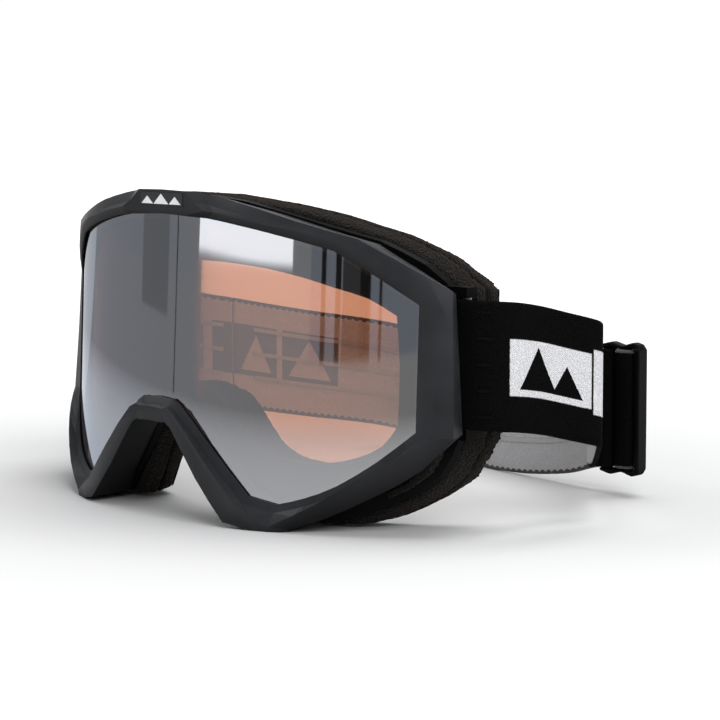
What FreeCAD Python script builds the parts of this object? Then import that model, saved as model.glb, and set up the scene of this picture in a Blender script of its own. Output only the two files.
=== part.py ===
"""Ski goggles standing on their lower rim, strap looped out behind them.

Sizes are in millimetres.  +X is the wearer's left, the lens faces -Y and +Z
is up.  Everything is drawn about the goggles' own centre plane (X = 0) with
the floor at Z = 0, and export() moves it so that the origin lies under the
centre of the whole object.

The lens is part of a leaning cylinder.  Outlines around it are lists of
(across, up) points for the wearer's left half, running from the top centre
clockwise to the top of the nose arch.  They are given at a reference size and
scaled to frame_half_width and frame_height, and every ring-shaped piece is
skinned through the same nineteen stations.
"""
import FreeCAD, Part
import math
import os

Vec = FreeCAD.Vector

# ---- overall sizes -------------------------------------------------------
frame_half_width = 88.3      # centre plane to the outermost ridge
frame_height = 95.1          # floor to the top of the ridge
lens_wrap = 47.378           # degrees round the lens cylinder to the outermost ridge
lens_lean = 2.38             # degrees that the lens leans back

# ---- lens stack and its groove -------------------------------------------
lens_thickness = 0.8
spacer_thickness = 2.2
lens_clearance = 0.35        # groove wall to lens face, front and back
lens_grip = 1.5              # how far the lens reaches into the groove
groove_depth = 2.0
back_lip_thickness = 1.2
lip_forward = 1.1            # front lip edge ahead of the lens
step_width = 2.2             # narrow step that follows the lens edge
step_forward = 1.9
wall = 2.5                   # thickness of the frame's shell
back_inset = 2.0             # the shell narrows this much behind the ridge
plate_y = 2.45               # flat plate at the top centre

# ---- face flange and foam ------------------------------------------------
flange_thickness = 2.5
foam_base_thickness = 6.5
foam_soft_thickness = 5.5
fleece_thickness = 1.2
foam_wrap = 4.0              # extra foam depth at the temples
mesh_foam_thickness = 2.0
glue_line = 0.2              # flange to the foams stuck on it
vent_foam_front = 9.6        # how far behind the lens the vent foam starts

# ---- strap ---------------------------------------------------------------
webbing_width = 36.5
webbing_thickness = 1.6
pin_radius = 1.4
pin_x = 83.4                 # strap pin, at the reference half width
pin_depth = 11.28            # strap pin behind the lens surface there
strap_start_z = 29.6         # lower edge of the webbing on the pins
running_gap = 0.3            # webbing to pin, bar and slider
hinge_gap = 1.2              # between two lengths of webbing that hinge
stitch_proud = 0.35
grip_line_width = 1.3
grip_line_thickness = 0.35

# ---- slider --------------------------------------------------------------
slider_bar_radius = 1.3
slider_middle_width = 3.0
slider_middle_depth = 2.0
slider_rim_width = 1.9
slider_slot = 0.75           # webbing on the middle bar to the outer rim
slider_rim_depth = 5.0
slider_rail = 2.0            # height of the end rails
slider_turn = 9.5            # degrees from +X towards +Y
slider_lift = 8.5            # floor to the lower edge of the webbing in it

REFERENCE_HALF_WIDTH = 88.3
REFERENCE_HEIGHT = 95.1

# Slider's middle bar and outer rim from its joining bar, each clear of the webbing.
slider_middle_offset = (slider_bar_radius + 2 * webbing_thickness + 3 * running_gap
                        + slider_middle_width / 2)
slider_rim_offset = (slider_middle_offset + slider_middle_width / 2 + running_gap
                     + webbing_thickness + slider_slot + slider_rim_width / 2)

# Outer face of the lens, about its upright axis.
lens_radius = frame_half_width / math.sin(math.radians(lens_wrap))


def across(x):
    """A length across the frame, given at the reference width."""
    return x * frame_half_width / REFERENCE_HALF_WIDTH


def up(z):
    """A height on the frame, given at the reference height."""
    return z * frame_height / REFERENCE_HEIGHT


# Lens edge as seen in the opening.
LENS_EDGE = [(0, 88.1), (19, 87.3), (24.5, 86.6), (36.4, 84.6), (48.5, 82), (58.4, 79.4),
             (69.3, 72.3), (78.8, 64.7), (78.9, 47), (78.9, 29.2), (70.7, 20.9), (61.2, 13.7),
             (52.5, 9.6), (44.5, 7.3), (35.6, 9), (23.1, 21.1), (9.5, 33.2), (5.2, 34.5), (0, 34.9)]

# Crest of the front face: across, up, forward of the lens (0 on the top plate).
CREST = [(0, 92.6, 0), (14.8, 91.8, 0), (23, 90.3, 0.8), (36.2, 87.8, 1.5), (48.5, 84.9, 2),
         (61.8, 81.3, 2), (72.8, 74.2, 2.1), (83, 66.9, 2.3), (84, 47.5, 3.1), (85.2, 28, 4.4),
         (78.7, 23.4, 4.6), (68.9, 16.7, 4.6), (57.8, 8.4, 4.7), (45.3, 1.5, 4.7),
         (34.6, 7, 4.8), (23.4, 18.3, 4.5), (10.1, 31.2, 4.1), (5.3, 31.9, 4), (0, 32.2, 4)]

# Outer ridge: across, up, forward of the lens (0 on the top plate).
RIDGE = [(0, 95.1, 0), (10.8, 94.9, 0), (22, 93.5, -0.6), (35.5, 90.8, 1), (48, 87.5, 1.5),
         (64.9, 82.9, 2), (76, 75.9, 2), (86, 68.7, 2.2), (87.2, 48, 3.4), (88.3, 27.8, 4.6),
         (80.3, 18.6, 0.8), (70.3, 11.2, 0.4), (55.8, 3, 1), (44.8, -0.9, 4.4),
         (31.2, 1.6, 5.1), (20, 13.2, 4.2), (9, 26.7, 3.8), (5, 27.8, 3.9), (0, 28.1, 4)]

# How far behind the lens the shell ends, and where the face flange starts.
SHELL_END = [9, 9, 9, 9.3, 9, 7.5, 5.5, 3, 3, 3, 4, 6.5, 9, 9, 9, 9, 9, 9, 9]
FLANGE_START = [9, 9, 9, 9.3, 10, 11, 12.5, 14.5, 14.7, 14.7, 12.6, 10.8, 9.6, 9, 9, 9, 9, 9, 9]

FLANGE_EDGE = [(0, 93.4), (11, 93.2), (22.3, 92.1), (35, 89.4), (47.5, 86), (62.1, 81.7),
               (72, 75.3), (79.2, 66), (79.4, 48), (79.8, 27.5), (77, 15.6), (67.6, 7.6),
               (56, 3), (44.6, 0.6), (32, 2), (21, 14.2), (10, 28.4), (5.4, 30), (0, 30.4)]

FACE_OPENING = [(0, 74.5), (15, 74.3), (20.5, 74), (31, 73), (42, 70.8), (51, 68),
                (58.5, 65.3), (64.5, 60.5), (65.5, 46), (65.5, 29.4), (63.2, 23.7), (57.8, 20.2),
                (50.5, 18.4), (42.5, 18), (34, 19.2), (26, 22.8), (17, 32.8), (10.5, 37.3),
                (0, 39.3)]

FOAM_EDGE = [(0, 93.9), (11.5, 93.8), (23.5, 92.7), (36, 90.9), (46.5, 88.4), (61, 83.6),
             (71, 77.4), (78.9, 67.8), (80.2, 48), (80.6, 26.6), (76.6, 13.2), (67.4, 4.9),
             (57, 0.4), (45, 0.4), (27.5, 0.9), (19.5, 13.4), (11.2, 29.6), (6, 32), (0, 32.5)]

# Centre line of the webbing: x, y from the pin, and the lower edge's height.
NEAR_ROUTE = [(5.5, -0.9, 29.5), (9.7, 2.4, 29.3), (11.4, 8.1, 28.8), (10.7, 15.1, 27.8),
              (9.8, 22.1, 26.5), (10.1, 29.6, 24.7), (11.3, 36.6, 23)]
NEAR_FOLD = (11.7, 42, 21.6)
FAR_ROUTE = [(-5.5, -0.9, 29.3), (-8.7, 3, 28.4), (-8.3, 9.1, 26.8), (-3.7, 18.1, 24),
             (2.9, 27.6, 21.2), (8.4, 35.6, 19.2)]
FAR_FOLD_Z = 18.0

# Slider's joining bar, from the near fold; and the webbing between the two.
SLIDER_FROM_FOLD = (-34.6, 40.2)
JOINING_ROUTE = [(-6.5, 6.6, 18.9), (-16.5, 16.4, 14.6), (-27, 26.6, 10.6), (-34.6, 33.4, 8.8),
                 (-37.9, 36.3, 8.5)]

# Rear run: first the part set out from the far fold, then from behind the slider.
REAR_FROM_FAR_FOLD = [(-0.8, 17, 14.8), (-1, 36, 11.4), (1.2, 53, 8.6), (7.6, 63.6, 6.4),
                      (19, 66.6, 4.4), (34.5, 61.5, 2)]
REAR_FROM_SLIDER = [(-77, 9.3, 0.5), (-60, 4.7, 0), (-41, 2.1, 0.8), (-22, 0.7, 3.2),
                    (-9, 0.1, 6.6)]

OUTLINE_CORNERS = (0, 1, 2, 5, 7, 9, 13, 14, 18)   # stations where the facets turn sharply
OUTLINE_STEPS = 2            # pieces that each span between stations is cut into
STEPS_PER_SPAN = 4           # straight pieces that round each span of webbing
ARC_STEP = 24.0              # degrees per flat around pins and bars


def lens_y(x, z, forward=0.0):
    """Depth of the lens surface, or of a surface ahead of or behind it."""
    lean = math.tan(math.radians(lens_lean))
    return lens_radius - math.sqrt(lens_radius ** 2 - x * x) + lean * z - forward


def on_lens(x, z, forward):
    return Vec(x, lens_y(x, z, forward), z)


def in_stack(x, z, depth):
    """A point at a true depth into the lens stack, square to the lens."""
    lean = math.tan(math.radians(lens_lean))
    return Vec(x, lens_radius - math.sqrt((lens_radius - depth) ** 2 - x * x) + lean * z, z)


def spline(p0, p1, p2, p3, t):
    """Point at t of the smooth span from p1 to p2."""
    return tuple(0.5 * (2 * b + (c - a) * t + (2 * a - 5 * b + 4 * c - d) * t ** 2
                        + (3 * b - a - 3 * c + d) * t ** 3)
                 for a, b, c, d in zip(p0, p1, p2, p3))


def extend(end, inner):
    """A point as far beyond an end as the inner one is before it."""
    return tuple(2 * e - i for e, i in zip(end, inner))


def refine(rows):
    """Rows of numbers with each span cut up, smooth except at the corners."""
    out = []
    for i in range(len(rows) - 1):
        p1, p2 = rows[i], rows[i + 1]
        p0 = extend(p1, p2) if i in OUTLINE_CORNERS else rows[i - 1]
        p3 = extend(p2, p1) if i + 1 in OUTLINE_CORNERS else rows[i + 2]
        for step in range(OUTLINE_STEPS):
            out.append(spline(p0, p1, p2, p3, step / OUTLINE_STEPS))
    out.append(rows[-1])
    return out


def sized(outline):
    """An outline at the frame's own width and height, finely divided."""
    return refine([(across(x), up(z)) for x, z in outline])


def sized_depths(depths):
    return [row[0] for row in refine([(depth,) for depth in depths])]


def outward(outline, index, distance):
    """A station moved away from the opening, square to its two neighbours."""
    last = len(outline) - 1
    x, z = outline[index]
    before = outline[index - 1] if index > 0 else (-outline[1][0], outline[1][1])
    after = outline[index + 1] if index < last else (-outline[last - 1][0], outline[last - 1][1])
    normals = []
    for (ax, az), (bx, bz) in ((before, (x, z)), ((x, z), after)):
        length = math.hypot(bx - ax, bz - az)
        normals.append(((az - bz) / length, (bx - ax) / length))
    nx = normals[0][0] + normals[1][0]
    nz = normals[0][1] + normals[1][1]
    scale = 2.0 / (nx * nx + nz * nz)
    if index in (0, last):
        nx = 0.0
    return x + nx * distance * scale, z + nz * distance * scale


def triangle(a, b, c):
    return Part.Face(Part.makePolygon([a, b, c, a]))


def skin(sections, closed):
    """A solid through matching loops of points, with flat triangles between."""
    faces = []
    count = len(sections)
    for i in range(count if closed else count - 1):
        here, there = sections[i], sections[(i + 1) % count]
        for j in range(len(here)):
            k = (j + 1) % len(here)
            if (here[j] - there[k]).Length <= (here[k] - there[j]).Length:
                halves = ((here[j], here[k], there[k]), (here[j], there[k], there[j]))
            else:
                halves = ((here[j], here[k], there[j]), (here[k], there[k], there[j]))
            for a, b, c in halves:
                if (b - a).cross(c - a).Length > 1e-6:
                    faces.append(triangle(a, b, c))
    if not closed:
        for loop in (sections[0], sections[-1]):
            faces.append(Part.Face(Part.makePolygon(loop + [loop[0]])))
    solid = Part.makeSolid(Part.makeShell(faces))
    if solid.Volume < 0:
        solid.reverse()
    return solid


def mirrored(points):
    return [Vec(-p.x, p.y, p.z) for p in points]


def full_ring(half_sections):
    """A closed ring from the stations of one half, mirrored for the other."""
    other = [mirrored(s) for s in half_sections[-2:0:-1]]
    return skin(half_sections + other, closed=True)


def band(front, back, front_start, back_end, front_inner, back_inner):
    """Ring between two outer outlines and two inner ones, at two depths."""
    sections = []
    for i in range(len(front)):
        sections.append([on_lens(*front[i], -front_start[i]), on_lens(*back[i], -back_end[i]),
                         on_lens(*back_inner[i], -back_end[i]),
                         on_lens(*front_inner[i], -front_start[i])])
    return full_ring(sections)


# ---- frame ---------------------------------------------------------------
def profile(rows):
    """Across, up, forward rows at the frame's size, with the flat plate on top."""
    out = refine([(across(x), up(z), forward) for x, z, forward in rows])
    for i in range(OUTLINE_STEPS + 1):
        x, z, _ = out[i]
        out[i] = (x, z, lens_y(x, z) - plate_y)
    return out


def stack_depth():
    return 2 * lens_thickness + spacer_thickness


def make_frame():
    edge, crest, ridge = sized(LENS_EDGE), profile(CREST), profile(RIDGE)
    shell_end = sized_depths(SHELL_END)
    ridge_line = [(x, z) for x, z, _ in ridge]
    groove_back = stack_depth() + lens_clearance
    lip_back = groove_back + back_lip_thickness
    lobe = range(13 * OUTLINE_STEPS, 14 * OUTLINE_STEPS + 1)
    sections = []
    for i in range(len(edge)):
        step = outward(edge, i, step_width)
        groove = outward(edge, i, groove_depth)
        shell_out = outward(ridge_line, i, -back_inset / 4 if i in lobe else -back_inset)
        shell_in = outward(ridge_line, i, -back_inset - wall)
        back_lip = outward(edge, i, groove_depth + 0.5)
        on_plate = i <= OUTLINE_STEPS
        lip_top = Vec(step[0], plate_y, step[1]) if on_plate else on_lens(*step, step_forward)
        sections.append([
            on_lens(*edge[i], lip_forward), lip_top, on_lens(*crest[i]), on_lens(*ridge[i]),
            on_lens(*shell_out, -shell_end[i]), on_lens(*shell_in, -shell_end[i]),
            in_stack(*back_lip, lip_back - 0.3), in_stack(*edge[i], lip_back),
            in_stack(*edge[i], groove_back), in_stack(*groove, groove_back),
            in_stack(*groove, -lens_clearance), in_stack(*edge[i], -lens_clearance)])
    floor = Part.makeBox(4 * frame_half_width, 200, 20, Vec(-2 * frame_half_width, -50, -20))
    return full_ring(sections).cut(floor)


def flange_start():
    return sized_depths(FLANGE_START)


def flange_end():
    return [start + flange_thickness for start in flange_start()]


def pin_place(side):
    x = across(pin_x)
    return Vec(side * x, lens_y(x, 0) + pin_depth, 0)


def flange_at(z):
    """Outer edge of the flange's side at a height, and the depth it starts at."""
    edge, starts = sized(FLANGE_EDGE), flange_start()
    for i in range(3 * OUTLINE_STEPS, 13 * OUTLINE_STEPS):
        top, bottom = edge[i][1], edge[i + 1][1]
        if top >= z > bottom:
            share = (top - z) / (top - bottom)
            return (edge[i][0] + share * (edge[i + 1][0] - edge[i][0]),
                    starts[i] + share * (starts[i + 1] - starts[i]))
    raise ValueError("no flange at that height")


def make_lug(side, low, high):
    """Ear on the flange that holds one end of a strap pin."""
    pin = pin_place(side)
    nose = pin_radius + 0.6
    edge, start = min(flange_at(low), flange_at(high))
    into_flange = start + flange_thickness / 2
    outer = on_lens(side * (edge - 0.5), low, -into_flange)
    inner = on_lens(side * (edge - 4.5), low, -into_flange)
    plan = [inner, Vec(pin.x - side * nose, pin.y - nose, low),
            Vec(pin.x + side * nose, pin.y - nose, low), Vec(pin.x + side * nose, pin.y + nose, low),
            outer]
    return Part.Face(Part.makePolygon(plan + [plan[0]])).extrude(Vec(0, 0, high - low))


def make_flange():
    edge, opening = sized(FLANGE_EDGE), sized(FACE_OPENING)
    flange = band(edge, edge, flange_start(), flange_end(), opening, opening)
    lug_height = 3.0
    low = strap_start_z - running_gap
    high = strap_start_z + webbing_width + running_gap
    for side in (-1, 1):
        flange = flange.fuse(make_lug(side, low - lug_height, low))
        flange = flange.fuse(make_lug(side, high, high + lug_height))
    for side in (-1, 1):
        flange = flange.cut(make_pin(side))
    return flange


def make_pin(side):
    pin = pin_place(side)
    ends = 2.4
    bottom = strap_start_z - running_gap - ends
    length = webbing_width + 2 * running_gap + 2 * ends
    return Part.makeCylinder(pin_radius, length, Vec(pin.x, pin.y, bottom))


def make_lens_part(near_face, far_face, margin, hole_margin=None):
    """Slice of the lens cylinder between two depths, cut to the lens outline."""
    edge = sized(LENS_EDGE)

    def column(distance):
        half = [outward(edge, i, distance) for i in range(len(edge))]
        loop = half + [(-x, z) for x, z in half[-2:0:-1]]
        points = [Vec(x, -50, z) for x, z in loop]
        return Part.Face(Part.makePolygon(points + [points[0]])).extrude(Vec(0, 150, 0))

    low, tall = -30.0, frame_height + 60.0
    outer = Part.makeCylinder(lens_radius - near_face, tall, Vec(0, lens_radius, low))
    inner = Part.makeCylinder(lens_radius - far_face, tall, Vec(0, lens_radius, low))
    tube = outer.cut(inner)
    tube.rotate(Vec(0, 0, 0), Vec(1, 0, 0), -lens_lean)
    half_space = Part.makeBox(400, lens_radius, tall + 100, Vec(-200, -20, low - 20))
    shape = tube.common(half_space).common(column(margin))
    if hole_margin is not None:
        shape = shape.cut(column(hole_margin))
    return shape


def make_badge():
    """Small inlay on the top plate: a bar with three peaks standing out of it."""
    half, low, high, thick = across(9.8), up(90.5), up(94.1), 0.25
    bar = Part.makeBox(2 * half, thick, high - low, Vec(-half, plate_y - thick, low))
    peaks = []
    for centre, reach in ((-0.33, 0.75), (0.0, 0.95), (0.33, 0.75)):
        x, rise, proud = centre * 2 * half, reach * (high - low), 0.2
        foot = low + 0.35
        corners = [Vec(x - rise, 0, foot), Vec(x, 0, foot + rise - 0.5), Vec(x + rise, 0, foot)]
        peak = Part.Face(Part.makePolygon(corners + [corners[0]])).extrude(Vec(0, proud, 0))
        peak.translate(Vec(0, plate_y - thick - proud, 0))
        peaks.append(peak)
    return bar.fuse(peaks)


# ---- foam ----------------------------------------------------------------
def foam_depths(base):
    """Depth behind the lens at each station, deeper towards the temples."""
    edge = sized(FOAM_EDGE)
    widest = max(x for x, _ in edge)
    whole = foam_base_thickness + foam_soft_thickness + fleece_thickness
    wrap = [foam_wrap * (x / widest) ** 2 * base / whole for x, _ in edge]
    return [front + glue_line + base + more for front, more in zip(flange_end(), wrap)]


def make_foam(start, thickness, inset_front, inset_back):
    edge, opening = sized(FOAM_EDGE), sized(FACE_OPENING)
    last = len(edge)

    def ring(outline, distance):
        moved = [outward(outline, i, distance) for i in range(last)]
        return [(x, max(z, 0.3)) for x, z in moved]

    return band(ring(edge, -inset_front), ring(edge, -inset_back), foam_depths(start),
                foam_depths(start + thickness), ring(opening, 1.0 + inset_front * 0.6),
                ring(opening, 1.0 + inset_back * 0.6))


def make_vent_foam(first, last):
    """Strip of open-cell foam on the flange, across the vent gap's inner side."""
    edge, starts = sized(FLANGE_EDGE), flange_start()
    front = vent_foam_front
    sections = []
    for i in range(first * OUTLINE_STEPS, last * OUTLINE_STEPS + 1):
        outer = outward(edge, i, -1.5)
        inner = outward(edge, i, -1.5 - mesh_foam_thickness)
        back = starts[i] - glue_line
        sections.append([on_lens(*outer, -front), on_lens(*outer, -back),
                         on_lens(*inner, -back), on_lens(*inner, -front)])
    strip = skin(sections, closed=False)
    return Part.makeCompound([strip, strip.mirror(Vec(0, 0, 0), Vec(1, 0, 0))])


# ---- webbing -------------------------------------------------------------
def rounded(points):
    """Points along a smooth curve through the given ones."""
    out = []
    for i in range(len(points) - 1):
        p1, p2 = points[i], points[i + 1]
        p0 = points[i - 1] if i > 0 else p1 * 2 - p2
        p3 = points[i + 2] if i + 2 < len(points) else p2 * 2 - p1
        for step in range(STEPS_PER_SPAN):
            t = step / STEPS_PER_SPAN
            out.append((p1 * 2 + (p2 - p0) * t + (p0 * 2 - p1 * 5 + p2 * 4 - p3) * t ** 2
                        + (p1 * 3 - p0 - p2 * 3 + p3) * t ** 3) * 0.5)
    out.append(points[-1])
    return out


def sideways(path, i):
    """Unit vector in plan, to the right of the path's direction."""
    before, after = path[max(i - 1, 0)], path[min(i + 1, len(path) - 1)]
    along = Vec(after.x - before.x, after.y - before.y, 0)
    along.normalize()
    return Vec(along.y, -along.x, 0)


def ribbon(path, height, thickness, shift=0.0, lift=0.0):
    """Upright webbing along a path of its lower edge."""
    sections = []
    for i, point in enumerate(path):
        side = sideways(path, i)
        low = point + side * shift + Vec(0, 0, lift)
        rise = Vec(0, 0, height)
        half = side * (thickness / 2)
        sections.append([low - half, low + half, low + half + rise, low - half + rise])
    return skin(sections, closed=False)


def arc_points(centre, radius, start, end, z):
    """Points on an arc in plan, angles in degrees from +X."""
    count = max(2, int(abs(end - start) / ARC_STEP))
    points = []
    for i in range(count + 1):
        angle = math.radians(start + (end - start) * i / count)
        points.append(Vec(centre.x + radius * math.cos(angle),
                          centre.y + radius * math.sin(angle), z))
    return points


def from_point(origin, offsets):
    return [Vec(origin.x + x, origin.y + y, z) for x, y, z in offsets]


def near_fold():
    pin = pin_place(1)
    return Vec(pin.x + NEAR_FOLD[0], pin.y + NEAR_FOLD[1], NEAR_FOLD[2])


def far_fold():
    """The far fold keeps the near one's place from its pin, as a linkage does."""
    pin = pin_place(-1)
    return Vec(pin.x + NEAR_FOLD[0], pin.y + NEAR_FOLD[1], FAR_FOLD_Z)


def slider_place():
    fold = near_fold()
    return Vec(fold.x + SLIDER_FROM_FOLD[0], fold.y + SLIDER_FROM_FOLD[1], slider_lift)


def pin_loop_radius():
    return pin_radius + running_gap + webbing_thickness / 2


def bar_loop_radius():
    return slider_bar_radius + running_gap + webbing_thickness / 2


def shortened(path, gap):
    """The path with its last point drawn back, for a hinge's clearance."""
    last, before = path[-1], path[-2]
    step = (before - last)
    step.normalize()
    return path[:-1] + [last + step * gap]


def near_path():
    pin = pin_place(1)
    loop = arc_points(pin, pin_loop_radius(), 60, 290, strap_start_z)
    route = rounded([loop[-1]] + from_point(pin, NEAR_ROUTE) + [near_fold()])
    return shortened(loop[:-1] + route, hinge_gap / 2)


def far_path():
    pin = pin_place(-1)
    loop = arc_points(pin, pin_loop_radius(), 120, -110, strap_start_z)
    route = rounded([loop[-1]] + from_point(pin, FAR_ROUTE) + [far_fold()])
    return shortened(loop[:-1] + route, hinge_gap / 2)


def slider_axes():
    turn = math.radians(slider_turn)
    return Vec(math.cos(turn), math.sin(turn), 0), Vec(-math.sin(turn), math.cos(turn), 0)


def joining_path():
    """Webbing from the near fold to its loop round the slider's first bar."""
    bar = slider_place()
    fold = near_fold()
    loop = arc_points(bar, bar_loop_radius(), slider_turn - 110, slider_turn + 110, slider_lift)
    route = rounded([fold] + from_point(fold, JOINING_ROUTE) + [loop[0]])
    start = shortened(route[::-1], hinge_gap / 2)[::-1]
    return start + loop[1:]


def rear_path():
    """Rear run from the far fold to the slider, over its middle bar and back."""
    bar = slider_place()
    along, behind = slider_axes()
    thick = webbing_thickness
    back = slider_middle_depth / 2 + running_gap + thick / 2
    right = slider_middle_offset + slider_middle_width / 2 + running_gap + thick / 2
    left = slider_middle_offset - slider_middle_width / 2 - running_gap - thick / 2
    rear_gap = bar_loop_radius() + 1.5 * thick + 2 * running_gap + 0.1
    tail_gap = bar_loop_radius() + thick + running_gap

    def at(s, d):
        point = bar + along * s + behind * d
        return Vec(point.x, point.y, slider_lift)

    fold = far_fold()
    run = (from_point(fold, REAR_FROM_FAR_FOLD)
           + from_point(bar + Vec(0, rear_gap, 0), REAR_FROM_SLIDER))
    route = rounded([fold] + run + [at(right - 4.0, rear_gap)])
    start = shortened(route[::-1], hinge_gap / 2)[::-1]
    turn = [at(right - 1.6, rear_gap - 0.4), at(right - 0.4, rear_gap - 1.6),
            at(right, rear_gap - 3.2), at(right, -back + 1.1), at(right - 0.4, -back + 0.3),
            at(right - 1.2, -back)]
    over = [at(left + 1.2, -back), at(left + 0.4, -back + 0.3), at(left, -back + 1.1),
            at(left, back - 0.8)]
    tail = [at(left - 0.4, tail_gap - 0.9), at(left - 1.6, tail_gap), at(left - 8.0, tail_gap)]
    return start + turn + over + tail


def make_slider():
    """Three upright bars joined by a wavy rail at each end."""
    bar = slider_place()
    along, behind = slider_axes()
    low = slider_lift - running_gap
    tall = webbing_width + 2 * running_gap

    def block(s, width, depth, shift=0.0):
        corner = bar + along * (s - width / 2) + behind * (shift - depth / 2)
        points = [corner, corner + along * width, corner + along * width + behind * depth,
                  corner + behind * depth]
        points = [Vec(p.x, p.y, low) for p in points]
        return Part.Face(Part.makePolygon(points + [points[0]])).extrude(Vec(0, 0, tall))

    rim = block(slider_rim_offset, slider_rim_width, slider_rim_depth)
    middle = block(slider_middle_offset, slider_middle_width, slider_middle_depth)
    first = Part.makeCylinder(slider_bar_radius, tall, Vec(bar.x, bar.y, low))
    end = slider_rim_offset + slider_rim_width / 2
    wave = [(-slider_bar_radius - 0.4, 0.9), (2.2, 1.9), (slider_middle_offset - 0.7, 0.8),
            (end - 3.0, 2.0), (end - 0.8, 1.4), (end, 0.2)]
    pieces = [rim, middle, first]
    for base, sign in ((low, -1), (low + tall, 1)):
        profile = [(s, base + sign * rise * slider_rail / 2) for s, rise in wave]
        profile = [(wave[0][0], base)] + profile + [(end, base)]
        points = []
        for s, z in profile:
            place = bar + along * s - behind * 1.9
            points.append(Vec(place.x, place.y, z))
        face = Part.Face(Part.makePolygon(points + [points[0]]))
        pieces.append(face.extrude(behind * 3.8))
    return pieces[0].fuse(pieces[1:])


def make_stitches(path, outer):
    """Bar tacks close to the pin, on the outer face (outer: 1 right, -1 left)."""
    rows = []
    shift = outer * (webbing_thickness + stitch_proud) / 2
    for share in (0.1, 0.3, 0.5, 0.7, 0.9):
        rows.append(ribbon(path[13:17], 0.9, stitch_proud, shift, webbing_width * share))
    return Part.makeCompound(rows)


def make_grip_lines(path, outer):
    """Silicone lines along the inner face (outer face: 1 right, -1 left)."""
    rows = []
    shift = -outer * (webbing_thickness + grip_line_thickness) / 2
    for share in (0.28, 0.5, 0.72):
        rows.append(ribbon(path, grip_line_width, grip_line_thickness, shift,
                           webbing_width * share))
    return Part.makeCompound(rows)


def make_webbing(path):
    return ribbon(path, webbing_width, webbing_thickness)


def build():
    near, far, joining, rear = near_path(), far_path(), joining_path(), rear_path()
    soft_start = foam_base_thickness
    fleece_start = foam_base_thickness + foam_soft_thickness
    depth = stack_depth()
    return {
        "frame": make_frame(),
        "face_flange": make_flange(),
        "outer_lens": make_lens_part(0, lens_thickness, lens_grip),
        "lens_spacer": make_lens_part(lens_thickness, depth - lens_thickness, lens_grip, -1.6),
        "inner_lens": make_lens_part(depth - lens_thickness, depth, lens_grip),
        "badge": make_badge(),
        "strap_pin_left": make_pin(1),
        "strap_pin_right": make_pin(-1),
        "foam_base": make_foam(0.0, foam_base_thickness, 0.6, 0.0),
        "foam_soft": make_foam(soft_start, foam_soft_thickness, 0.0, 1.2),
        "fleece_lining": make_foam(fleece_start, fleece_thickness, 1.2, 3.0),
        "vent_foam_upper": make_vent_foam(5, 7),
        "vent_foam_lower": make_vent_foam(9, 11),
        "strap_near": make_webbing(near),
        "stitching_near": make_stitches(near, 1),
        "grip_lines_near": make_grip_lines(near[20:-2], 1),
        "strap_joining": make_webbing(joining),
        "slider": make_slider(),
        "strap_rear": make_webbing(rear),
        "grip_lines_rear": make_grip_lines(rear[2:44], -1),
        "strap_far": make_webbing(far),
        "stitching_far": make_stitches(far, -1),
        "grip_lines_far": make_grip_lines(far[20:-2], -1),
    }


def export(nodes):
    """Write each node with the origin under the centre of the whole object."""
    box = Part.makeCompound(list(nodes.values())).BoundBox
    shift = Vec(-(box.XMin + box.XMax) / 2, -(box.YMin + box.YMax) / 2, -box.ZMin)
    os.makedirs("parts", exist_ok=True)
    for name, shape in nodes.items():
        shape.translate(shift)
        shape.exportStep("parts/" + name + ".step")
    print("shift", [round(v, 3) for v in shift])
    print("size", [round(v, 2) for v in (box.XLength, box.YLength, box.ZLength)])
    for label, place in (("near pin", pin_place(1)), ("near fold", near_fold()),
                         ("far pin", pin_place(-1)), ("slider", slider_place())):
        print(label, [round(v, 3) for v in place + shift])


export(build())
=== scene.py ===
"""Looks of the ski goggles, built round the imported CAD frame.

The routes and sizes of the webbing are in millimetres, and MM turns them into
metres where meshes are made.  Everything else is in metres, in the row frame.
"""
import math

import bmesh
import bpy
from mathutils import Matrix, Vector, noise


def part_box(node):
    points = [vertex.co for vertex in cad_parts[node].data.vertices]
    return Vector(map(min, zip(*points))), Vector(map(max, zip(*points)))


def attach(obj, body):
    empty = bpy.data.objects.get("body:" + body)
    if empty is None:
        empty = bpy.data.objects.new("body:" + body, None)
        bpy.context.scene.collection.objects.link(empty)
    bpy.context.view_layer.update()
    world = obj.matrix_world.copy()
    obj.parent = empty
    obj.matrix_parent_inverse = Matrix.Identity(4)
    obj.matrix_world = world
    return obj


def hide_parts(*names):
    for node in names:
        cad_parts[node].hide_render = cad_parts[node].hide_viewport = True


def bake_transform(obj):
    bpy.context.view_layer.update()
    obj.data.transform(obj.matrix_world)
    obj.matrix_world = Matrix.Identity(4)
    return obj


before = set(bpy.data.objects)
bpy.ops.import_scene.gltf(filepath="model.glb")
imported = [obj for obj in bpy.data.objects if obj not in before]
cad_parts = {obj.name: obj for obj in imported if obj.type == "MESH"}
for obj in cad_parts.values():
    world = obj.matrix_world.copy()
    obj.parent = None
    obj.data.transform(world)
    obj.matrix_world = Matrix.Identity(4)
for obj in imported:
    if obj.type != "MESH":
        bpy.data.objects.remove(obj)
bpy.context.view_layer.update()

MM = 0.001


def axis(node):
    """Where a CAD pin stands, in millimetres."""
    low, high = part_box(node)
    return Vector(((low.x + high.x) / 2, (low.y + high.y) / 2, 0)) / MM


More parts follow.
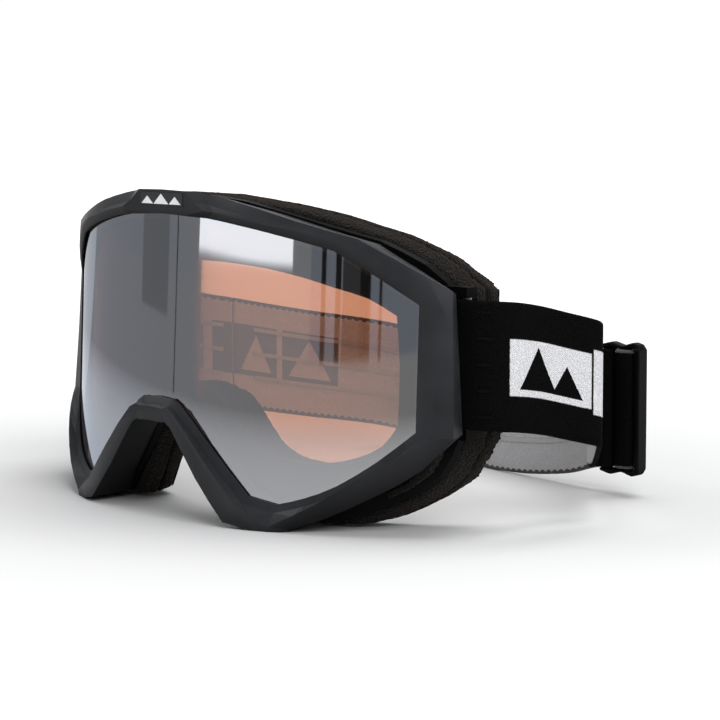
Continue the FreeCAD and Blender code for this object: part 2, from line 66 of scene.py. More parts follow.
# ---- sizes that follow the CAD part, in millimetres ---------------------------
WIDTH = 36.5                    # webbing, from edge to edge
THICK = 1.6
GAP = 0.3                       # running gap round the pins and bars
START_Z = 29.6                  # floor to the webbing's lower edge at the pins
LIFT = 8.5                      # floor to the same edge in the slider
HINGE_GAP = 0.9                 # each band's end to the far fold
PIN_RADIUS = 1.4
BAR_RADIUS = 1.3                # the slider's first bar
MIDDLE_WIDTH = 3.0              # its middle bar
MIDDLE_DEPTH = 2.0
MIDDLE_OFFSET = BAR_RADIUS + 2 * THICK + 3 * GAP + MIDDLE_WIDTH / 2
PIN_LOOP = PIN_RADIUS + GAP + THICK / 2     # radii of the webbing's loops
BAR_LOOP = BAR_RADIUS + GAP + THICK / 2
NEAR_PIN = axis("strap_pin_left")
FAR_PIN = axis("strap_pin_right")

# Routes of the webbing's lower edge, chosen as in the CAD part: x and y
# from the pin, fold or bar that each starts at, and height above the floor.
NEAR_ROUTE = [(5.5, -0.9, 29.5), (9.7, 2.4, 29.3), (11.4, 8.1, 28.8), (10.7, 15.1, 27.8),
              (9.8, 22.1, 26.5), (10.1, 29.6, 24.7), (11.3, 36.6, 23)]
NEAR_FOLD = NEAR_PIN + Vector((11.7, 42, 21.6))
FAR_ROUTE = [(-5.5, -0.9, 29.3), (-8.7, 3, 28.4), (-8.3, 9.1, 26.8), (-3.7, 18.1, 24),
             (2.9, 27.6, 21.2), (8.4, 35.6, 19.2)]
FAR_FOLD = FAR_PIN + Vector((11.7, 42, 18))
BAR = NEAR_FOLD + Vector((-34.6, 40.2, 0))  # the slider's first bar, and its turn
TURN = math.radians(9.5)
JOINING_ROUTE = [(-6.5, 6.6, 18.9), (-16.5, 16.4, 14.6), (-27, 26.6, 10.6), (-34.6, 33.4, 8.8),
                 (-37.9, 36.3, 8.5)]
REAR_FROM_FAR_FOLD = [(-0.8, 17, 14.8), (-1, 36, 11.4), (1.2, 53, 8.6), (7.6, 63.6, 6.4),
                      (19, 66.6, 4.4), (34.5, 61.5, 2)]
REAR_FROM_SLIDER = [(-77, 14.8, 0.5), (-60, 10.2, 0), (-41, 7.6, 0.8), (-22, 6.2, 3.2),
                    (-9, 5.6, 6.6)]


# ---- node graphs ------------------------------------------------------------
class Graph:
    """A material's node tree, with short calls for the nodes used here."""

    def __init__(self, name):
        self.mat = bpy.data.materials.new(name)
        self.mat.use_nodes = True
        self.tree = self.mat.node_tree
        self.tree.nodes.clear()
        self.out = self.add("ShaderNodeOutputMaterial")

    def add(self, kind, **values):
        node = self.tree.nodes.new(kind)
        for key, value in values.items():
            setattr(node, key, value)
        return node

    def put(self, socket, value):
        if isinstance(value, bpy.types.NodeSocket):
            self.tree.links.new(value, socket)
        else:
            socket.default_value = value

    def math(self, operation, a, b=0.0, c=0.0):
        node = self.add("ShaderNodeMath", operation=operation)
        for i, value in enumerate((a, b, c)):
            self.put(node.inputs[i], value)
        return node.outputs[0]

    def coords(self, kind="Object"):
        return self.add("ShaderNodeTexCoord").outputs[kind]

    def split(self, vector):
        node = self.add("ShaderNodeSeparateXYZ")
        self.put(node.inputs[0], vector)
        return node.outputs

    def noise(self, vector, scale, detail=3.0, roughness=0.5):
        node = self.add("ShaderNodeTexNoise")
        self.put(node.inputs["Vector"], vector)
        node.inputs["Scale"].default_value = scale
        node.inputs["Detail"].default_value = detail
        node.inputs["Roughness"].default_value = roughness
        return node.outputs["Fac"]

    def cells(self, vector, scale):
        node = self.add("ShaderNodeTexVoronoi")
        self.put(node.inputs["Vector"], vector)
        node.inputs["Scale"].default_value = scale
        return node.outputs["Distance"]

    def spread(self, value, low, high, to_low=0.0, to_high=1.0):
        node = self.add("ShaderNodeMapRange")
        for key, item in (("Value", value), ("From Min", low), ("From Max", high),
                          ("To Min", to_low), ("To Max", to_high)):
            self.put(node.inputs[key], item)
        return node.outputs[0]

    def blend(self, share, first, second):
        node = self.add("ShaderNodeMix", data_type="RGBA")
        self.put(node.inputs[0], share)
        self.put(node.inputs[6], first)
        self.put(node.inputs[7], second)
        return node.outputs[2]

    def length(self, vector):
        node = self.add("ShaderNodeVectorMath", operation="LENGTH")
        self.put(node.inputs[0], vector)
        return node.outputs["Value"]

    def bump(self, height, distance):
        node = self.add("ShaderNodeBump")
        node.inputs["Strength"].default_value = 1.0
        node.inputs["Distance"].default_value = distance
        self.put(node.inputs["Height"], height)
        return node.outputs[0]

    def shader(self, **values):
        node = self.add("ShaderNodeBsdfPrincipled")
        for key, value in values.items():
            self.put(node.inputs[key.replace("_", " ")], value)
        return node.outputs[0]

    def clear(self, colour=(1, 1, 1, 1)):
        node = self.add("ShaderNodeBsdfTransparent")
        node.inputs["Color"].default_value = colour
        return node.outputs[0]

    def emission(self, strength, colour=(1, 1, 1, 1)):
        node = self.add("ShaderNodeEmission")
        node.inputs["Color"].default_value = colour
        self.put(node.inputs["Strength"], strength)
        return node.outputs[0]

    def mixed(self, share, first, second):
        node = self.add("ShaderNodeMixShader")
        for i, value in enumerate((share, first, second)):
            self.put(node.inputs[i], value)
        return node.outputs[0]

    def finish(self, shader):
        self.tree.links.new(shader, self.out.inputs["Surface"])
        return self.mat


def grey(value):
    return (value, value, value * 1.03, 1)


def plastic_grey(value):
    return (value, value * 1.03, value * 1.16, 1)


def plastic(name, low, high, rough, grain=0.00002, shine=0.4):
    """Moulded plastic, faintly cloudy and fine-grained; matt underneath, and darkened there with
    painted shade.
    """
    g = Graph(name)
    place = g.coords()
    cloud = g.noise(place, 60, 4)
    fine = g.noise(place, 2600, 2)
    colour = g.blend(g.spread(cloud, 0.35, 0.7), plastic_grey(low), plastic_grey(high))
    roughness = g.spread(cloud, 0.3, 0.7, rough - 0.05, rough + 0.06)
    # Painted shade: faces turned downwards are blended towards near-black, and they are also
    # made matt.
    facing = g.split(g.add("ShaderNodeNewGeometry").outputs["Normal"])[2]
    above = g.spread(facing, -0.6, 0.05, 0.15, 1.0)
    painted_shade_colour, under_rough = (0.001, 0.001, 0.0012, 1), 0.8
    colour = g.blend(above, painted_shade_colour, colour)
    roughness = g.math("MULTIPLY_ADD", above,
                       g.math("SUBTRACT", roughness, under_rough), under_rough)
    return g.finish(g.shader(Base_Color=colour, Roughness=roughness,
                             Specular_IOR_Level=shine, Normal=g.bump(fine, grain)))


def foam(name, low, high, cell):
    """Open-cell foam: matt struts, with painted shade making the small pores between them dark.
    """
    g = Graph(name)
    place = g.coords()
    pores = g.cells(place, 1 / cell)
    fine = g.noise(place, 900, 5, 0.7)
    depth = g.math("ADD", pores, g.math("MULTIPLY", fine, 0.6))
    # Painted shade: the colour follows the bump height, so the low pores are darker than the
    # struts.
    colour = g.blend(g.spread(depth, 0.3, 0.95), grey(low), grey(high))
    return g.finish(g.shader(Base_Color=colour, Roughness=0.95, Specular_IOR_Level=0.03,
                             Sheen_Weight=0.06, Sheen_Roughness=0.6,
                             Sheen_Tint=(0.9, 0.7, 0.55, 1),
                             Normal=g.bump(depth, 0.0007)))


def fleece(name):
    """Short black pile in tufts."""
    g = Graph(name)
    place = g.coords()
    tufts = g.noise(place, 1500, 6, 0.75)
    patches = g.noise(place, 160, 3)
    colour = g.blend(g.spread(tufts, 0.35, 0.7), grey(0.001), grey(0.008))
    height = g.math("ADD", tufts, g.math("MULTIPLY", patches, 0.5))
    return g.finish(g.shader(Base_Color=colour, Roughness=1.0, Specular_IOR_Level=0.02,
                             Sheen_Weight=0.04, Sheen_Roughness=0.5,
                             Normal=g.bump(height, 0.0006)))


def within(g, value, low, high, soft=0.25):
    """1 where value lies between low and high, with a soft edge."""
    rise = g.spread(value, low - soft / 2, low + soft / 2)
    fall = g.spread(value, high - soft / 2, high + soft / 2, 1.0, 0.0)
    return g.math("MULTIPLY", rise, fall)


def peak(g, u, v, centre, foot, top, half):
    """1 inside an upright triangle."""
    away = g.math("ABSOLUTE", g.math("SUBTRACT", u, centre))
    line = g.math("MULTIPLY_ADD", away, -(top - foot) / half, top)
    under = g.spread(g.math("SUBTRACT", line, v), -0.15, 0.15)
    return g.math("MULTIPLY", under, g.spread(v, foot - 0.1, foot + 0.1))


def blocks(g, u, v, places):
    """Plain blocks with peaks cut out of them: u0, u1, v0, v1 in mm, then the peaks."""
    total = None
    for u0, u1, v0, v1, cuts in places:
        mask = g.math("MULTIPLY", within(g, u, u0, u1), within(g, v, v0, v1))
        for centre, foot, top, half in cuts:
            keep = g.math("SUBTRACT", 1.0, peak(g, u, v, centre, foot, top, half))
            mask = g.math("MULTIPLY", mask, keep)
        total = mask if total is None else g.math("MAXIMUM", total, mask)
    return total


def along_band(g):
    """Length along the webbing and height across it, in mm, and its fine fuzz."""
    uv = g.split(g.coords("UV"))
    u, v = g.math("MULTIPLY", uv[0], 1 / MM), g.math("MULTIPLY", uv[1], 1 / MM)
    return u, v, g.noise(g.coords(), 2200, 4, 0.7)


def weave(g, u, v, fine):
    """Height of a knitted elastic: ribs across the band and rows along it."""
    rib_pitch, row_pitch = 0.85, 0.62
    across = g.math("SINE", g.math("MULTIPLY", u, 2 * math.pi / rib_pitch))
    along = g.math("SINE", g.math("MULTIPLY", v, 2 * math.pi / row_pitch))
    knit = g.math("MULTIPLY", across, along)
    return g.math("ADD", g.math("MULTIPLY", knit, 0.5), g.math("MULTIPLY", fine, 0.9))


def webbing_outer(name, places):
    """Black elastic with white blocks knitted in."""
    g = Graph(name)
    u, v, fine = along_band(g)
    wobble = g.math("MULTIPLY_ADD", fine, 0.5, -0.25)
    mask = blocks(g, g.math("ADD", u, wobble), g.math("ADD", v, wobble), places)
    black = g.blend(g.spread(fine, 0.3, 0.75), grey(0.001), grey(0.007))
    white = g.blend(g.spread(fine, 0.3, 0.6), grey(0.5), grey(0.86))
    height = g.math("ADD", weave(g, u, v, fine), g.math("MULTIPLY", mask, 0.6))
    return g.finish(g.shader(Base_Color=g.blend(mask, black, white), Roughness=0.9,
                             Specular_IOR_Level=0.02, Normal=g.bump(height, 0.00022)))


def webbing_inner(name, places):
    """The pale side: scalloped dark edges, and the blocks showing through as grey."""
    g = Graph(name)
    u, v, fine = along_band(g)
    light = g.blend(g.spread(fine, 0.25, 0.7), grey(0.36), grey(0.62))
    dark = g.blend(g.spread(fine, 0.3, 0.7), grey(0.03), grey(0.09))
    scallop_pitch = 2.9
    scallop = g.math("ABSOLUTE",
                     g.math("SINE", g.math("MULTIPLY", u, math.pi / scallop_pitch)))
    edge = g.math("MULTIPLY_ADD", scallop, 0.7, 0.8)
    low = g.spread(g.math("SUBTRACT", edge, v), -0.1, 0.1)
    high = g.spread(g.math("SUBTRACT", v, g.math("SUBTRACT", WIDTH, edge)), -0.1, 0.1)
    mask = g.math("MAXIMUM", low, high)
    if places:
        mask = g.math("MAXIMUM", mask, g.math("MULTIPLY", blocks(g, u, v, places), 0.85))
    return g.finish(g.shader(Base_Color=g.blend(mask, light, dark), Roughness=0.9,
                             Specular_IOR_Level=0.2, Sheen_Weight=0.2, Sheen_Roughness=0.5,
                             Normal=g.bump(weave(g, u, v, fine), 0.0002)))


def mirror_lens():
    """Half-silvered front over an orange tint; the back face only lets light by."""
    g = Graph("lens_mirror")
    smudge = g.noise(g.coords(), 45, 3)
    facing = g.add("ShaderNodeLayerWeight")
    facing.inputs["Blend"].default_value = 0.35
    tint = g.blend(facing.outputs["Facing"], (0.78, 0.8, 0.82, 1), (0.62, 0.75, 0.95, 1))
    silver = g.shader(Base_Color=tint, Metallic=1.0,
                      Roughness=g.spread(smudge, 0.3, 0.7, 0.02, 0.045))
    orange = g.clear((0.88, 0.4, 0.235, 1))
    mirrored = g.spread(facing.outputs["Fresnel"], 0.0, 1.0, 0.44, 1.0)
    behind = g.add("ShaderNodeNewGeometry").outputs["Backfacing"]
    return g.finish(g.mixed(behind, g.mixed(mirrored, orange, silver), g.clear()))


def clear_lens():
    """The inner pane: nearly clear, with a soft gloss at a slant."""
    g = Graph("lens_clear")
    smudge = g.noise(g.coords(), 70, 3)
    gloss = g.shader(Base_Color=(0.8, 0.8, 0.8, 1), Metallic=1.0,
                     Roughness=g.spread(smudge, 0.3, 0.7, 0.03, 0.08))
    facing = g.add("ShaderNodeFresnel")
    facing.inputs["IOR"].default_value = 1.4
    return g.finish(g.mixed(facing.outputs[0], g.clear((0.97, 0.93, 0.9, 1)), gloss))


def badge_paint(front_y):
    """Dark satin bar; what stands out of it is white."""
    g = Graph("badge_paint")
    place = g.coords()
    fine = g.noise(place, 1800, 3)
    raised = g.spread(g.split(place)[1], front_y + 0.0001, front_y + 0.0002, 1.0, 0.0)
    dark = g.blend(fine, grey(0.01), grey(0.02))
    white = g.blend(fine, grey(0.75), grey(0.9))
    return g.finish(g.shader(Base_Color=g.blend(raised, dark, white), Roughness=0.45,
                             Normal=g.bump(fine, 0.00001)))


def simple(name, low, high, rough, metallic=0.0, scale=1500, depth=0.00003, shine=0.5):
    """One even material with a fine grain."""
    g = Graph(name)
    fine = g.noise(g.coords(), scale, 3)
    colour = g.blend(g.spread(fine, 0.3, 0.7), grey(low), grey(high))
    return g.finish(g.shader(Base_Color=colour, Metallic=metallic, Specular_IOR_Level=shine,
                             Roughness=g.spread(fine, 0.3, 0.7, rough - 0.06, rough + 0.06),
                             Normal=g.bump(fine, depth)))


# ---- meshes -------------------------------------------------------------------
def link(name, mesh):
    piece = bpy.data.objects.new(name, mesh)
    bpy.context.scene.collection.objects.link(piece)
    return piece


def dress(piece, *materials):
    """Give a piece its materials, keeping which face has which."""
    held = piece.data.materials
    for i, material in enumerate(materials):
        if i < len(held):
            held[i] = material
        else:
            held.append(material)


def copy_node(node, name):
    """A welded copy of a CAD node's mesh, as a new piece."""
    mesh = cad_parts[node].data.copy()
    mesh.name = name
    work = bmesh.new()
    work.from_mesh(mesh)
    bmesh.ops.remove_doubles(work, verts=work.verts, dist=2e-6)
    bmesh.ops.dissolve_degenerate(work, edges=work.edges, dist=2e-6)
    work.to_mesh(mesh)
    work.free()
    for key in ("custom_normal", "sharp_edge"):
        found = mesh.attributes.get(key)
        if found:
            mesh.attributes.remove(found)
    return link(name, mesh)


def applied(piece):
    """Bake the piece's modifiers into its mesh."""
    bpy.context.view_layer.update()
    made = bpy.data.meshes.new_from_object(
        piece.evaluated_get(bpy.context.evaluated_depsgraph_get()))
    piece.modifiers.clear()
    piece.data = made
    return piece


def smooth_by(piece, degrees):
    for face in piece.data.polygons:
        face.use_smooth = True
    piece.data.set_sharp_from_angle(angle=math.radians(degrees))


def moulded(node, name, bevel, degrees):
    """A moulded copy of a CAD node: flats merged and every crease rounded."""
    flat, crease = math.radians(1.5), math.radians(14)
    piece = copy_node(node, name)
    work = bmesh.new()
    work.from_mesh(piece.data)
    bmesh.ops.dissolve_limit(work, angle_limit=flat, verts=work.verts, edges=work.edges)
    work.to_mesh(piece.data)
    work.free()
    round_off = piece.modifiers.new("edges", "BEVEL")
    round_off.width = bevel
    round_off.segments = 2
    round_off.limit_method = "ANGLE"
    round_off.angle_limit = crease
    round_off.use_clamp_overlap = True
    applied(piece)
    smooth_by(piece, degrees)
    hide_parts(node)
    return piece


def worn(node, name, voxel, passes):
    """A copy of a CAD node in even small faces, with every corner worn round."""
    piece = copy_node(node, name)
    remesh = piece.modifiers.new("voxels", "REMESH")
    remesh.mode = "VOXEL"
    remesh.voxel_size = voxel
    ease = piece.modifiers.new("ease", "SMOOTH")
    ease.factor = 0.5
    ease.iterations = passes
    return applied(piece)


def eased(node, name, voxel, passes):
    """A moulded copy of a CAD node with soft corners."""
    piece = worn(node, name, voxel, passes)
    smooth_by(piece, 180)
    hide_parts(node)
    return piece


def soft(node, name, voxel, passes, swell, grain):
    """A foam piece: the CAD solid made round-edged, crowned and a little uneven."""
    piece = worn(node, name, voxel, passes)
    mesh = piece.data
    broad, fine = 90, 700       # unevenness: about how many bumps to the metre
    moves = []
    for vertex in mesh.vertices:
        wave = noise.noise(vertex.co * broad) * 0.6 + noise.noise(vertex.co * fine) * 0.4
        moves.append(vertex.normal * (swell + grain * wave))
    for vertex, move in zip(mesh.vertices, moves):
        vertex.co += move
    smooth_by(piece, 180)
    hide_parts(node)
    return piece


# ---- webbing ------------------------------------------------------------------
def rounded(points):
    """Points along a smooth curve through the given ones."""
    steps = 8
    out = []
    for i in range(len(points) - 1):
        p1, p2 = points[i], points[i + 1]
        p0 = points[i - 1] if i > 0 else p1 * 2 - p2
        p3 = points[i + 2] if i + 2 < len(points) else p2 * 2 - p1
        for step in range(steps):
            t = step / steps
            out.append((p1 * 2 + (p2 - p0) * t + (p0 * 2 - p1 * 5 + p2 * 4 - p3) * t ** 2
                        + (p1 * 3 - p0 - p2 * 3 + p3) * t ** 3) * 0.5)
    out.append(points[-1].copy())
    return out


def arc(centre, radius, start, end, z):
    """Points round a pin or bar, from one bearing in degrees to another."""
    flat = 12.0
    count = max(2, int(abs(end - start) / flat))
    out = []
    for i in range(count + 1):
        angle = math.radians(start + (end - start) * i / count)
        out.append(Vector((centre.x + radius * math.cos(angle),
                           centre.y + radius * math.sin(angle), z)))
    return out


def offsets(origin, rows):
    """A route's points, from its x and y offsets and its heights."""
    return [Vector((origin.x + x, origin.y + y, z)) for x, y, z in rows]


def corner(before, at, after, reach):
    """A small round fold in place of a sharp one."""
    steps = 6
    first = at + (before - at).normalized() * reach
    last = at + (after - at).normalized() * reach
    out = []
    for i in range(steps + 1):
        t = i / steps
        out.append(first * (1 - t) ** 2 + at * 2 * t * (1 - t) + last * t ** 2)
    return out


def eased_off(point, towards):
    """An end of webbing held clear of the one it hinges against."""
    return point + (towards - point).normalized() * HINGE_GAP


def near_path():
    """Round the near pin and back along the near side to its fold."""
    loop = arc(NEAR_PIN, PIN_LOOP, 60, 290, START_Z)
    return loop[:-1] + rounded([loop[-1]] + offsets(NEAR_PIN, NEAR_ROUTE) + [NEAR_FOLD])


def far_path():
    """Round the far pin and back along the far side to just short of its fold."""
    loop = arc(FAR_PIN, PIN_LOOP, 120, -110, START_Z)
    route = offsets(FAR_PIN, FAR_ROUTE)
    return loop[:-1] + rounded([loop[-1]] + route + [eased_off(FAR_FOLD, route[-1])])


def joining_path():
    """From the near fold down behind, and round the slider's first bar."""
    turn = math.degrees(TURN)
    loop = arc(BAR, BAR_LOOP, turn - 110, turn + 110, LIFT)
    route = rounded([NEAR_FOLD] + offsets(NEAR_FOLD, JOINING_ROUTE) + [loop[0]])
    return route + loop[1:]


def rear_path():
    """From the far fold behind the goggles, round the slider's middle bar to a tail."""
    along = Vector((math.cos(TURN), math.sin(TURN), 0))
    behind = Vector((-math.sin(TURN), math.cos(TURN), 0))
    clear = GAP + THICK / 2     # a face of the bar to the middle of the webbing
    back = MIDDLE_DEPTH / 2 + clear
    right = MIDDLE_OFFSET + MIDDLE_WIDTH / 2 + clear
    left = MIDDLE_OFFSET - MIDDLE_WIDTH / 2 - clear
    rear_gap = BAR_LOOP + 1.5 * THICK + 2 * GAP + 0.1
    tail_gap = BAR_LOOP + THICK + GAP

    def at(s, d):
        """A point in the slider: s along it from its first bar, d behind it."""
        point = BAR + along * s + behind * d
        return Vector((point.x, point.y, LIFT))

    first = offsets(FAR_FOLD, REAR_FROM_FAR_FOLD)
    route = rounded([eased_off(FAR_FOLD, first[0])] + first
                    + offsets(BAR, REAR_FROM_SLIDER) + [at(right - 4.0, rear_gap)])
    turn = [at(right - 1.6, rear_gap - 0.4), at(right - 0.4, rear_gap - 1.6),
            at(right, rear_gap - 3.2), at(right, -back + 1.1), at(right - 0.4, -back + 0.3),
            at(right - 1.2, -back)]
    over = [at(left + 1.2, -back), at(left + 0.4, -back + 0.3), at(left, -back + 1.1),
            at(left, back - 0.8)]
    tail = [at(left - 0.4, tail_gap - 0.9), at(left - 1.6, tail_gap), at(left - 8.0, tail_gap)]
    return route + turn + over + tail


def plan_side(path, i):
    """The level direction to the right of the path at one of its points."""
    before, after = path[max(i - 1, 0)], path[min(i + 1, len(path) - 1)]
    along = Vector((after.x - before.x, after.y - before.y, 0)).normalized()
    return Vector((along.y, -along.x, 0))


def profile():
    """Round the band's section: offset across it, height, and 0 right or 1 left face."""
    half, edge, rows = THICK / 2, 0.9, 22
    section = []
    for i in range(rows + 1):
        section.append((half, edge + (WIDTH - 2 * edge) * i / rows, 0))
    for degrees in (30, 60, 90, 120, 150):
        angle = math.radians(degrees)
        section.append((half * math.cos(angle), WIDTH - edge + edge * math.sin(angle), 0))
    for i in range(rows + 1):
        section.append((-half, WIDTH - edge - (WIDTH - 2 * edge) * i / rows, 1))
    for degrees in (210, 240, 270, 300, 330):
        angle = math.radians(degrees)
        section.append((half * math.cos(angle), edge + edge * math.sin(angle), 0))
    return section


def capped(stations, end):
    """The stations with one end rounded: 0 for the first end, 1 for the last."""
    point, side, length, _ = stations[0 if end == 0 else -1]
    inner = stations[1 if end == 0 else -2][0]
    out = (point - inner).normalized()
    caps = []
    for share in (0.5, 0.85, 0.99):
        caps.append((point + out * share * THICK / 2, side,
                     length + (share * THICK / 2) * (-1 if end == 0 else 1),
                     math.sqrt(1 - share * share)))
    return caps[::-1] + stations if end == 0 else stations + caps


def band(name, path, rounds=(False, False), outer_right=True):
    """Webbing along a path of its lower edge, with length and height as its UVs.

    rounds says which ends are round; outer_right, which side has the outer face.
    """
    section = profile()
    stations = []               # point, direction across, length, share of THICK
    length = 0.0
    for i, point in enumerate(path):
        if i:
            length += (point - path[i - 1]).length
        stations.append((point, plan_side(path, i), length, 1.0))
    for end in (0, 1):
        if rounds[end]:
            stations = capped(stations, end)
    vertices, faces, uvs, slots = [], [], [], []
    for point, side, _, share in stations:
        for offset, height, _ in section:
            vertices.append((point + side * offset * share + Vector((0, 0, height))) * MM)
    count = len(section)
    for i in range(len(stations) - 1):
        for j in range(count):
            k = (j + 1) % count
            faces.append((i * count + j, (i + 1) * count + j,
                          (i + 1) * count + k, i * count + k))
            u0, u1 = stations[i][2] * MM, stations[i + 1][2] * MM
            v0, v1 = section[j][1] * MM, section[k][1] * MM
            uvs += [(u0, v0), (u1, v0), (u1, v1), (u0, v1)]
            left = section[j][2] == 1 and section[k][2] == 1
            slots.append(int(left == outer_right))
    for i in (0, len(stations) - 1):
        ring = [i * count + j for j in range(count)]
        faces.append(tuple(ring if i == 0 else ring[::-1]))
        uvs += [(stations[i][2] * MM, section[j % count][1] * MM)
                for j in (range(count) if i == 0 else range(count - 1, -1, -1))]
        slots.append(0)
    mesh = bpy.data.meshes.new(name)
    mesh.from_pydata(vertices, [], faces)
    layer = mesh.uv_layers.new(name="UVMap")
    for loop, uv in zip(layer.data, uvs):
        loop.uv = uv
    for face, slot_index in zip(mesh.polygons, slots):
        face.material_index = slot_index
        face.use_smooth = True
    piece = link(name, mesh)
    mesh.set_sharp_from_angle(angle=math.radians(50))
    work = bmesh.new()
    work.from_mesh(mesh)
    bmesh.ops.recalc_face_normals(work, faces=work.faces)
    work.to_mesh(mesh)
    work.free()
    return piece


# ---- the goggles --------------------------------------------------------------
shell = moulded("frame", "frame_shell", bevel=0.00045, degrees=30)
dress(shell, plastic("frame_plastic", 0.018, 0.028, 0.36, shine=0.18))
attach(shell, "frame")

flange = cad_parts["face_flange"]
dress(flange, plastic("flange_plastic", 0.001, 0.003, 0.5, grain=0.00004, shine=0.08))
dress(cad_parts["outer_lens"], mirror_lens())
dress(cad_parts["inner_lens"], clear_lens())
dress(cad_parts["lens_spacer"], simple("gasket_rubber", 0.01, 0.03, 0.7))
dress(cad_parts["badge"], badge_paint(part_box("badge")[0].y))
steel = simple("pin_steel", 0.3, 0.4, 0.3, metallic=1.0, scale=900)
dress(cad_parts["strap_pin_left"], steel)
dress(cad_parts["strap_pin_right"], steel)

foam_dark = foam("foam_dark", 0.001, 0.012, cell=0.0007)
for node, name, voxel, passes, swell, grain in (
        ("foam_base", "foam_base_pad", 0.0011, 5, 0.0, 0.00025),
        ("foam_soft", "foam_soft_pad", 0.0011, 6, 0.0, 0.0003),
        ("vent_foam_upper", "vent_mesh_upper", 0.0006, 2, 0.0, 0.0001),
        ("vent_foam_lower", "vent_mesh_lower", 0.0006, 2, 0.0, 0.0001)):
    pad = soft(node, name, voxel, passes, swell, grain)
    dress(pad, foam_dark)
    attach(pad, "frame")
lining = soft("fleece_lining", "fleece_pad", voxel=0.0006, passes=3, swell=0.0001,
              grain=0.00025)
dress(lining, fleece("fleece_pile"))
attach(lining, "frame")

# ---- the strap ----------------------------------------------------------------
# White blocks on the webbing, in mm along it and up from its lower edge: where each
# begins and ends, its foot and top, then its peaks as centre, foot, top and half width.
NEAR_BLOCKS = [(23.7, 57.0, 10.3, 26.2, [(35.5, 12.2, 24.6, 8.5), (48.0, 12.2, 21.0, 6.0)]),
               (57.8, 78.0, 8.9, 27.6, [(69.5, 10.8, 24.0, 6.0)])]
REAR_BLOCKS = [(-3.0, 18.5, 11.2, 28.2, [(9.0, 13.0, 25.0, 7.0)]),
               (21.0, 46.0, 11.2, 28.2, [(33.5, 13.0, 26.0, 9.5)])]
FAR_BLOCKS = [(22.0, 56.0, 11.2, 27.2, [(34.0, 13.0, 25.0, 8.5), (46.5, 13.0, 21.5, 6.0)]),
              (59.0, 70.0, 11.2, 28.2, [])]

near, joining = near_path(), joining_path()
skipped = 3                     # points next to the fold that its rounding replaces
fold = corner(near[-1 - skipped], NEAR_FOLD, joining[skipped], reach=2.2)
left = band("webbing_left", near[:-1 - skipped] + fold + joining[1 + skipped:])
dress(left, webbing_outer("webbing_outer_left", NEAR_BLOCKS),
      webbing_inner("webbing_inner_left", []))
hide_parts("strap_near", "strap_joining")
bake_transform(left)

back = band("webbing_rear", rear_path(), rounds=(True, False), outer_right=False)
dress(back, webbing_outer("webbing_outer_rear", REAR_BLOCKS),
      webbing_inner("webbing_inner_rear", REAR_BLOCKS))
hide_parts("strap_rear")
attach(back, "rear_strap")

right = band("webbing_right", far_path(), rounds=(False, True), outer_right=False)
dress(right, webbing_outer("webbing_outer_right", FAR_BLOCKS),
      webbing_inner("webbing_inner_right", FAR_BLOCKS))
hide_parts("strap_far")
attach(right, "far_strap")

buckle = eased("slider", "buckle", voxel=0.0003, passes=12)
dress(buckle, plastic("buckle_plastic", 0.002, 0.004, 0.42, shine=0.06))
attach(buckle, "rear_strap")

thread = simple("thread", 0.001, 0.006, 0.9, scale=3500, depth=0.0001, shine=0.04)
silicone = simple("silicone", 0.34, 0.42, 0.35, scale=700)
for side in ("near", "far"):
    dress(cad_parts["stitching_" + side], thread)
for side in ("near", "rear", "far"):
    dress(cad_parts["grip_lines_" + side], silicone)


# ---- the studio -----------------------------------------------------------------
def glow(name, strength, colour=(1, 1, 1, 1)):
    """An even glow."""
    g = Graph(name)
    return g.finish(g.emission(strength, colour))


def faded(name, strength, axis_index, low, high):
    """A glow that fades out below low and is whole above high, along one axis."""
    g = Graph(name)
    share = g.spread(g.split(g.coords())[axis_index], low, high)
    light = g.emission(g.math("MULTIPLY", share, strength))
    return g.finish(g.mixed(share, g.clear(), light))


def far_glow(name, strength, low, high):
    """A glow that is clear nearer than low and whole beyond high from the centre."""
    g = Graph(name)
    share = g.spread(g.length(g.coords()), low, high)
    return g.finish(g.mixed(share, g.clear(), g.emission(strength)))


def floor_paint():
    """White sweep, a little self-lit, more so far away where the lamps don't reach."""
    g = Graph("floor_paint")
    place = g.coords()
    colour = g.blend(g.noise(place, 3, 2), (0.65, 0.65, 0.65, 1), (0.68, 0.68, 0.68, 1))
    away = g.length(place)
    glow_share = g.math("ADD", g.spread(away, 0.12, 0.42, 0.0, 0.4),
                        g.spread(away, 0.42, 1.4, 0.0, 0.55))
    return g.finish(g.shader(Base_Color=colour, Roughness=0.9, Specular_IOR_Level=0.1,
                             Emission_Color=(1, 1, 1, 1), Emission_Strength=glow_share))


def reflected(piece):
    """Stage a card or sheet so that it only shows in reflections."""
    piece.visible_camera = False
    piece.visible_diffuse = False
    piece.visible_shadow = False


def card(name, first, last, low, high, material, radius=1.3):
    """An upright curved card between two bearings, in degrees from +X."""
    steps = 12
    vertices, faces = [], []
    for i in range(steps + 1):
        angle = math.radians(first + (last - first) * i / steps)
        x, y = radius * math.cos(angle), radius * math.sin(angle)
        vertices += [(x, y, low), (x, y, high)]
        if i:
            faces.append((2 * i - 2, 2 * i, 2 * i + 1, 2 * i - 1))
    mesh = bpy.data.meshes.new(name)
    mesh.from_pydata(vertices, [], faces)
    mesh.materials.append(material)
    return link(name, mesh)


def lamp(name, place, target, size, power):
    data = bpy.data.lights.new(name, "AREA")
    data.shape = "RECTANGLE"
    data.size, data.size_y = size
    data.energy = power
    item = bpy.data.objects.new(name, data)
    bpy.context.scene.collection.objects.link(item)
    item.location = place
    item.rotation_euler = (Vector(target) - Vector(place)).to_track_quat("-Z", "Y").to_euler()


def round_rim(radius, first, last, step):
    """Points on a level circle between two bearings, in degrees from +X."""
    return [(radius * math.cos(math.radians(a)), radius * math.sin(math.radians(a)))
            for a in range(first, last, step)]


def sheet_on_floor(name, points, z, material):
    mesh = bpy.data.meshes.new(name)
    mesh.from_pydata([(x, y, z) for x, y in points], [], [tuple(range(len(points)))])
    mesh.materials.append(material)
    return link(name, mesh)


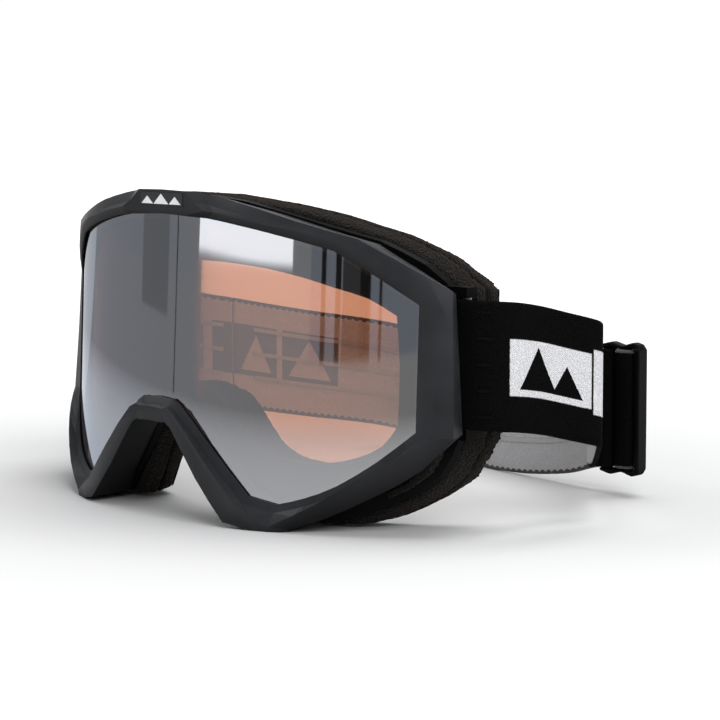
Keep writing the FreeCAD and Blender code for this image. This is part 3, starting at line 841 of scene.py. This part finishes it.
FLOOR_RADIUS = 3.0
JUST_UNDER, JUST_OVER = -0.0001, 0.0004     # heights of sheets on the floor
sheet_on_floor("studio_floor", round_rim(FLOOR_RADIUS, 0, 360, 4), JUST_UNDER,
                        floor_paint())
surround = card("studio_wall", 0, 360, -0.01, 3.0, glow("wall_glow", 1.02),
                radius=FLOOR_RADIUS - 0.01)
surround.visible_glossy = False
surround.visible_diffuse = False
surround.visible_shadow = False

world = bpy.data.worlds.new("studio")
world.use_nodes = True
sky = world.node_tree.nodes["Background"].inputs
sky["Color"].default_value = (0.96, 0.98, 1, 1)
sky["Strength"].default_value = 0.36
bpy.context.scene.world = world

# Dim floor in front, as a dark room beyond the white sweep gives in the lens.
for name, first, last, strength in (("room_floor", -186, -11, 0.36),
                                    ("room_floor_side", -206, -186, 0.62)):
    sector = [(0, 0)] + round_rim(FLOOR_RADIUS - 0.005, first, last + 1, 5)
    reflected(sheet_on_floor(name, sector, JUST_OVER,
                             far_glow(name + "_glow", strength, 0.1, 0.62)))

# Cards that the lens reflects: bearings, foot, top, material and distance.
reflected(card("wall_behind", 95, 171, 0.0, 1.2, glow("wall_behind_glow", 0.85),
               radius=2.5))
reflected(card("card_left", -150.4, -137.5, 0.012, 0.5, glow("card_dim", 0.24)))
reflected(card("softbox", -124.6, -91.7, 0.06, 0.5, faded("softbox_glow", 2.2, 2, 0.064, 0.074)))
reflected(card("room_front", -86, -40, 0.0, 0.8,
               glow("room_glow", 0.28, (0.88, 0.96, 1.1, 1)), radius=1.35))
for name, first, last, strength in (("bar_one", -82.6, -81.2, 0.015),
                                    ("bar_two", -78.3, -76.7, 0.015),
                                    ("bar_wide", -76.3, -71.1, 0.06),
                                    ("bar_three", -71.1, -68.0, 0.015),
                                    ("bar_four", -65.5, -64.7, 0.015)):
    reflected(card(name, first, last, 0.0, 0.8, glow(name + "_glow", strength)))
reflected(card("post", -128.9, -128.5, 0.012, 0.3, glow("card_dark", 0.03), radius=0.427))

# Lamps: place, what each points at, size in metres and power in watts.
lamp("top", (0.05, 0.3, 1.2), (0, 0, 0.03), (0.9, 0.9), 12.0)
lamp("left", (-0.9, -0.5, 0.9), (0, 0, 0.05), (0.6, 0.6), 3.0)
lamp("right", (1.0, -0.35, 0.8), (0.06, 0, 0.05), (0.7, 0.7), 9.0)

# The camera, fitted to the photograph's viewing angle.
VIEW_DOWN, VIEW_ROUND = 6.067, 48.1907      # degrees
view = bpy.data.cameras.new("view")
view.sensor_width = 36.0
view.lens = 135.17
view.clip_start = 0.01
camera = bpy.data.objects.new("view", view)
bpy.context.scene.collection.objects.link(camera)
camera.location = (0.62208, -0.55377, 0.12872)
camera.rotation_euler = (math.radians(90 - VIEW_DOWN), 0, math.radians(VIEW_ROUND))
bpy.context.scene.camera = camera
bpy.context.scene.view_settings.view_transform = "Standard"
